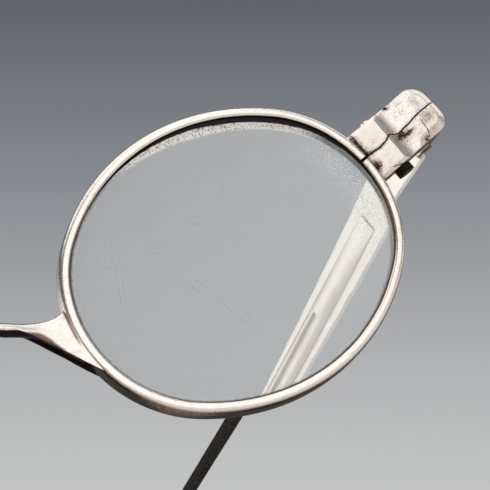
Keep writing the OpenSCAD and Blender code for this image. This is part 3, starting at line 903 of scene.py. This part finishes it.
# %% Dents, soft slopes and marks
def nick(mesh, places):
    """Presses small round dents into a mesh: middle, radius and depth of each."""
    co, normal = points_of(mesh), points_of(mesh, "normal")
    for middle, radius, depth in places:
        away = np.linalg.norm(co - np.array(middle), axis=1) / radius
        co -= normal * (depth * np.exp(-away ** 2 * 2))[:, None]
    move_points(mesh, co)


def melt(mesh, weight, rounds):
    """Smooths a mesh where weight is above 0, and leaves the rest."""
    co = points_of(mesh)
    i, j, count = edges_of(mesh)
    n = len(co)
    for _ in range(rounds):
        near = np.stack([np.bincount(i, co[j, k], n) + np.bincount(j, co[i, k], n)
                         for k in range(3)], 1)
        co += (near / count[:, None] - co) * weight[:, None]
    move_points(mesh, co)


def blot(u, v, at_u, at_v, wide, high):
    """A soft oval spot: 1 in its middle and 0 away from it."""
    return np.exp(-((u - at_u) / wide) ** 2 - ((v - at_v) / high) ** 2)


def stroke(u, v, start, stop, width):
    """A straight scratch: 1 on its line and 0 away from it."""
    a, d = np.array(start), np.array(stop) - np.array(start)
    t = np.clip(((u - a[0]) * d[0] + (v - a[1]) * d[1]) / (d @ d), 0, 1)
    return np.exp(-(np.hypot(u - a[0] - t * d[0], v - a[1] - t * d[1]) / width) ** 2)


# %% Places, seam and hollow of an end piece
SEAM_L = 8.06                                      # from the rim to the slot at the hinge
HOLLOW_AT, HOLLOW_R, HOLLOW_OUT = 5.1, 2.4, 3.0    # the drawn hollow: where, radius, centre
FLAT_IN, FLAT_OUT = 1.0, 1.3                       # how far forward the two flats stand
FLOOR, FLOOR_AT = 0.66, 5.4                        # the worn hollow's deepest line
INNER_SIDE, OUTER_SIDE = 1.68, 2.9                 # how wide its two sides are


def on_end_piece(co, side):
    """Distance from the rim, height above the seam's line, and distance forward."""
    u = side * co[:, 0] - LENS.x - SEAT_X
    return u, co[:, 2] - LENS.z - END_UP - u * END_SLOPE, LENS.y - co[:, 1]


def in_space(side, u, v, back):
    """The point of space at a place on the front of an end piece."""
    return (side * (LENS.x + SEAT_X + u), LENS.y - 1.1 + back,
            LENS.z + END_UP + u * END_SLOPE + v)


def seam_height(u):
    """The seam's rise above its straight line, at u from the rim."""
    s = u / SEAM_L
    return 0.28 * (hump(s, 0.5, 0.07) - 0.35 * hump(s, 0.26, 0.11)
                   - 0.8 * hump(s, 0.66, 0.07) - 0.5 * hump(s, 0.82, 0.1))


def shape_hollow(mesh, u, forward):
    """Makes the hollow crisp and steady on its inner side and fading on its outer side."""
    arc = HOLLOW_OUT - np.sqrt(np.maximum(HOLLOW_R ** 2 - (u - HOLLOW_AT) ** 2, 0))
    drawn = np.minimum(np.where(u < HOLLOW_AT, FLAT_IN, FLAT_OUT), arc)
    steep, soft = fall(u, FLOOR_AT, INNER_SIDE), rise(u, FLOOR_AT, OUTER_SIDE)
    wanted = FLOOR + np.where(u < FLOOR_AT, (FLAT_IN - FLOOR) * steep ** 2,
                              (FLAT_OUT - FLOOR) * soft * soft * (3 - 2 * soft))
    co = points_of(mesh)
    co[:, 1] += (drawn - wanted) * rise(forward, 0.3, 0.25)
    move_points(mesh, co)


print("the seam's wave, mm", np.round(seam_height(np.linspace(1, 8, 8)), 2))


# %% Film, pits and painted shade on an end piece
def stain_and_shade_end(mesh, side, half, front):
    u, v, forward = on_end_piece(points_of(mesh), side)
    facing, h = points_of(mesh, "normal"), hollowness(mesh)
    seam = np.exp(-np.abs(v - seam_height(u)) / 0.16) * np.where(u < 4.6, 1.0, 0.45)
    # A light grey-brown darkening on the lower half, towards the outer end.
    grey_patch = 0.17 * blot(u, v, 6.5, -1.3, 1.6, 1.1) + 0.08 * blot(u, v, 8.4, -1.4, 1.6, 1.3)
    hollow = 0.08 * hump(u, 5.0, 0.9) + 0.75 * blot(u, v, 5.1, -0.62, 0.85, 0.36) \
        + 0.6 * blot(u, v, 6.2, -0.85, 0.6, 0.22)
    spots = 0.8 * blot(u, v, 7.4, -2.6, 0.26, 0.2) + 0.33 * blot(u, v, 9.0, -0.9, 1.0, 0.5)
    # Next to the rim: painted shade, where the rim stands in front of the flat; on the lower half
    # also a brown stain.
    if half == "lower":
        root = 0.95 * blot(u, v, 0.25, -1.35, 0.85, 0.55) + 0.6 * np.exp(-np.maximum(u, 0) / 0.3)
    else:
        root = 1.1 * np.exp(-np.maximum(u - 0.2, 0) / 0.38) * fall(v, 2.9, 0.5)
    marks = 0.9 * blot(u, v, 5.96, 2.75, 0.22, 0.3) + 0.6 * np.maximum(
        stroke(u, v, (8.03, -0.75), (7.8, -2.6), 0.045),
        stroke(u, v, (1.8, -2.5), (3.0, -2.85), 0.04))
    # Painted shade on faces that turn back and on faces that look down.
    behind, under = fall(forward, 0.3, 0.8), rise(-facing[:, 2], 0.45, 0.4)
    keep(mesh, "patina", 0.03 + grey_patch + 0.8 * (seam + spots + root) + hollow + marks
         + 0.3 * behind + 0.7 * under + 1.5 * np.clip(h, 0, 0.2))
    keep(mesh, "speckle", front * (
        0.8 * blot(u, v, 6.8, 1.3, 1.4, 0.9) + 0.95 * blot(u, v, 8.7, -0.5, 1.2, 0.7)
        + 0.7 * blot(u, v, 1.5, 0.6, 0.9, 0.7) + 0.6 * blot(u, v, 2.2, -2.3, 1.4, 0.6)
        + 0.7 * blot(u, v, 5.2, -1.2, 0.9, 1.0)))
    keep(mesh, "rub", 3.0 * np.clip(-h - 0.03, 0, 0.4) * (1 - under))


# %% Cast the four halves
# Each nick: u, v, how far back it lies, its radius and its depth.
NICKS = [(5.95, 2.8, 0.1, 0.5, 0.34), (5.2, 2.8, 0, 0.35, 0.12), (4.5, 2.85, 0.1, 0.4, 0.12),
         (3.9, 2.8, 0, 0.28, 0.10), (7.4, -2.65, 0, 0.3, 0.08), (2.2, 2.8, 0, 0.6, 0.06),
         (0.6, -1.4, 0, 0.5, 0.05), (9.4, 1.2, -0.2, 0.9, 0.05)]

for side, word in SIDES:
    for half in ("upper", "lower"):
        node = f"{word}_endpiece_{half}"
        piece = soften(copy_solid(f"{word}_end_{half}", node), 0.06, 4)
        u, v, forward = on_end_piece(points_of(piece.data), side)
        front = rise(forward, 0.2, 0.3)
        shape_hollow(piece.data, u, forward)
        off_seam = np.abs(v - seam_height(u)) > 0.16
        melt(piece.data, 0.5 * front * rise(u, 4.3, 0.3) * fall(u, 8, 0.8) * off_seam, 12)
        nick(piece.data, [(in_space(side, *place), radius, depth)
                          for *place, radius, depth in NICKS])
        stain_and_shade_end(piece.data, side, half, front)
        finish(piece, end_silver, "front", "silver", node)

# %% [markdown]
# ## The arms and their sliders
#
# Each arm is a flat tapered bar, and a thinner strip slides along it in a small staple.
# Both slope down, so each copy is laid level before it is remeshed. The front end of the
# strip is filed thinner. Film stays in the corners, and shade is painted on the bar's
# front end next to the hinge and, nearly black, on the rear part of the strip.

# %% Cast arms, staples and sliders
# Each piece of an arm, the body that it rides on, and the size of its squares.
ARM_PIECES = (("temple", "arm", 0.13), ("keeper", "arm", 0.08), ("slider", "slider", 0.115))


def sloping(side):
    """The placement of an arm: at its hinge, and sloping down behind it."""
    hinge = Vector((side * (LENS.x + HINGE_OUT), LENS.y + HINGE_BACK, LENS.z))
    return Matrix.Translation(hinge) @ Matrix.Rotation(math.radians(-DROOP), 4, "X")


def thin_front(mesh, co, side, along):
    """Thins the front end of a slider towards the face of the bar that it lies on."""
    face = side * (LENS.x + HINGE_OUT - 0.5)
    co[:, 0] = face + (co[:, 0] - face) * (0.2 + 0.8 * rise(along, 22, 14))
    move_points(mesh, co)


for side, word in SIDES:
    level = sloping(side)
    for kind, body, voxel in ARM_PIECES:
        node = f"{word}_{kind}"
        piece = soften(copy_solid(node + "_silver", node, level), voxel, 3, level)
        h, co = hollowness(piece.data), points_of(piece.data)
        along = co[:, 1] - LENS.y - HINGE_BACK
        in_corners = (1.2 if kind == "slider" else 3.0) * np.clip(h, 0, 0.3)
        # Film in the corners, and painted shade on the front end next to the hinge, behind the
        # end piece.
        arm_film_and_shade = 0.06 + in_corners + 0.35 * np.exp(-np.maximum(along, 0) / 1.5)
        if kind == "slider":
            thin_front(piece.data, co, side, along)
            # Painted shade: the rear part of the slider, which lies in shadow, is painted nearly
            # black.
            arm_film_and_shade += 0.06 + 0.95 * rise(along, 62, 10)
        keep(piece.data, "patina", arm_film_and_shade)
        keep(piece.data, "rub", 2.0 * np.clip(-h - 0.03, 0, 0.4))
        finish(piece, arm_silver, f"{word}_{body}", "silver", node)

# %% [markdown]
# ## Screws and studs
#
# These are small turned pieces. A fine bevel on a merged copy gives each edge the
# bright line that a turned edge has, and the slot stays crisp. The head of a closing
# screw, below the end piece, is painted nearly black as shade.

# %% Turn screws and studs
def turned(name, node):
    made = copy_solid(name, node)
    made.data.materials.clear()
    edge = made.modifiers.new("fine_edge", "BEVEL")
    edge.width, edge.segments = 0.05, 3
    edge.limit_method, edge.angle_limit = "ANGLE", math.radians(40)
    edge.use_clamp_overlap = True
    return settle(made)


for _, word in SIDES:
    for kind, body in (("closing_screw", "front"), ("hinge_screw", "front"),
                       ("stud", word + "_arm")):
        node = f"{word}_{kind}"
        piece = turned(node + "_turned", node)
        below = points_of(piece.data)[:, 2] < LENS.z
        closing = kind == "closing_screw"
        # The closing screw's head, below the end piece, gets painted shade, nearly black.
        keep(piece.data, "patina",
             np.where(below, 0.95, 0.1) if closing else np.full(len(below), 0.6))
        finish(piece, rim_silver if closing else screw_silver, body, "screws", node)
        piece.data.set_sharp_from_angle(angle=math.radians(35))

# %% [markdown]
# ## Camera, light and background
#
# The photograph looks a little upwards at the wearer's left lens, from the nose side.
# The background is a soft change from blue grey above to pale grey below. It is written
# into the world by direction, for what the camera sees, directly or in metal and glass.

# %% The camera at the photograph's angle
eye = bpy.data.cameras.new("eye")
eye.lens, eye.sensor_width, eye.clip_start, eye.clip_end = 114.65, 36.0, 0.01, 10.0
camera = bpy.data.objects.new("eye", eye)
bpy.context.scene.collection.objects.link(camera)
RIGHT = Vector((0.726142, -0.276914, -0.629314))
UP = Vector((0.49815, -0.418968, 0.759153))
BACK = Vector((-0.473882, -0.864745, -0.166286))
camera.matrix_world = Matrix.Translation(Vector((-40.9466, -128.8942, -31.9806)) * MM) @ \
    Matrix((RIGHT, UP, BACK)).transposed().to_4x4()
bpy.context.scene.camera = camera
print("camera", [round(v, 4) for v in camera.location])

# %% The world behind it
REACH = 0.19    # the change runs a little past the picture's edges, which lie at 0.155
world = bpy.data.worlds.new("studio")
bpy.context.scene.world = world
world.use_nodes = True
b = Bench(world.node_tree)
height = b.node("ShaderNodeVectorMath", {"operation": "DOT_PRODUCT"},
                {0: b.node("ShaderNodeTexCoord", out="Generated"), 1: tuple(UP)}, out="Value")
backdrop = b.node("ShaderNodeValToRGB", {"stops": [
    (0.0, (0.60, 0.60, 0.60)), (0.30, (0.44, 0.445, 0.45)), (0.62, (0.235, 0.25, 0.27)),
    (1.0, (0.075, 0.084, 0.092))]}, {0: ((height + REACH) / (2 * REACH)).clamp()})
seen = b.node("ShaderNodeLightPath", out="Is Camera Ray")
for ray in ("Is Glossy Ray", "Is Transmission Ray"):
    seen = b.maths("MAXIMUM", seen, b.node("ShaderNodeLightPath", out=ray))
colour = b.blend(seen, (0.36, 0.36, 0.37), backdrop)
b.node("ShaderNodeOutputWorld", None, {
    "Surface": b.node("ShaderNodeBackground", None, {"Color": colour, "Strength": 1.0})})
print("world ready")

# %% [markdown]
# ## Soft boxes and the floor
#
# Flat silver shows what stands opposite it, like a mirror. So the large soft box stands
# where the front faces reflect it into the camera, and one behind lights the inner sides
# of the arms. Three more, above and at both sides, draw the bright lines along the round
# wires. None of them shows in the picture, directly or through the glass. The floor is a
# pale disc, low enough to stay out of the view.

# %% Light
AIM = Vector((0.045, 0.0, -0.005))


def soft_box(name, place, width, height, glow):
    lamp = bpy.data.lights.new(name, "AREA")
    lamp.shape, lamp.size, lamp.size_y = "RECTANGLE", width, height
    lamp.energy = glow * math.pi * width * height
    made = bpy.data.objects.new(name, lamp)
    bpy.context.scene.collection.objects.link(made)
    made.location = place
    made.rotation_euler = (Vector(place) - AIM).to_track_quat("Z", "Y").to_euler()
    made.visible_camera = made.visible_transmission = False
    print(name, "gives", round(lamp.energy, 2), "W")


soft_box("front_box", (0.075, -0.47, 0.12), 0.86, 0.46, 1.06)
soft_box("back_box", (-0.30, 0.50, 0.14), 0.34, 0.50, 1.05)
soft_box("top_box", (0.21, -0.09, 0.42), 0.44, 0.70, 1.05)
soft_box("nose_box", (-0.45, 0.05, 0.09), 0.58, 0.32, 0.80)
soft_box("side_box", (0.47, 0.11, 0.10), 0.44, 0.30, 0.9)

# %% Floor
bpy.ops.mesh.primitive_circle_add(vertices=160, radius=0.24, fill_type="NGON",
                                  location=(0, 0.04, -0.055))
floor = bpy.context.object
floor.name = "floor"
paper = bpy.data.materials.new("paper")
paper.use_nodes = True
b = Bench(paper.node_tree)
grain = clouds(b, b.node("ShaderNodeTexCoord", out="Object") * (1 / MM), 30.0)
tone = b.blend(grain, (0.74, 0.74, 0.74), (0.78, 0.78, 0.775))
b.node("ShaderNodeOutputMaterial", None, {
    "Surface": b.node("ShaderNodeBsdfPrincipled", None, {"Base Color": tone, "Roughness": 0.7})})
floor.data.materials.append(paper)

# %% View settings
bpy.context.scene.view_settings.view_transform = "Standard"
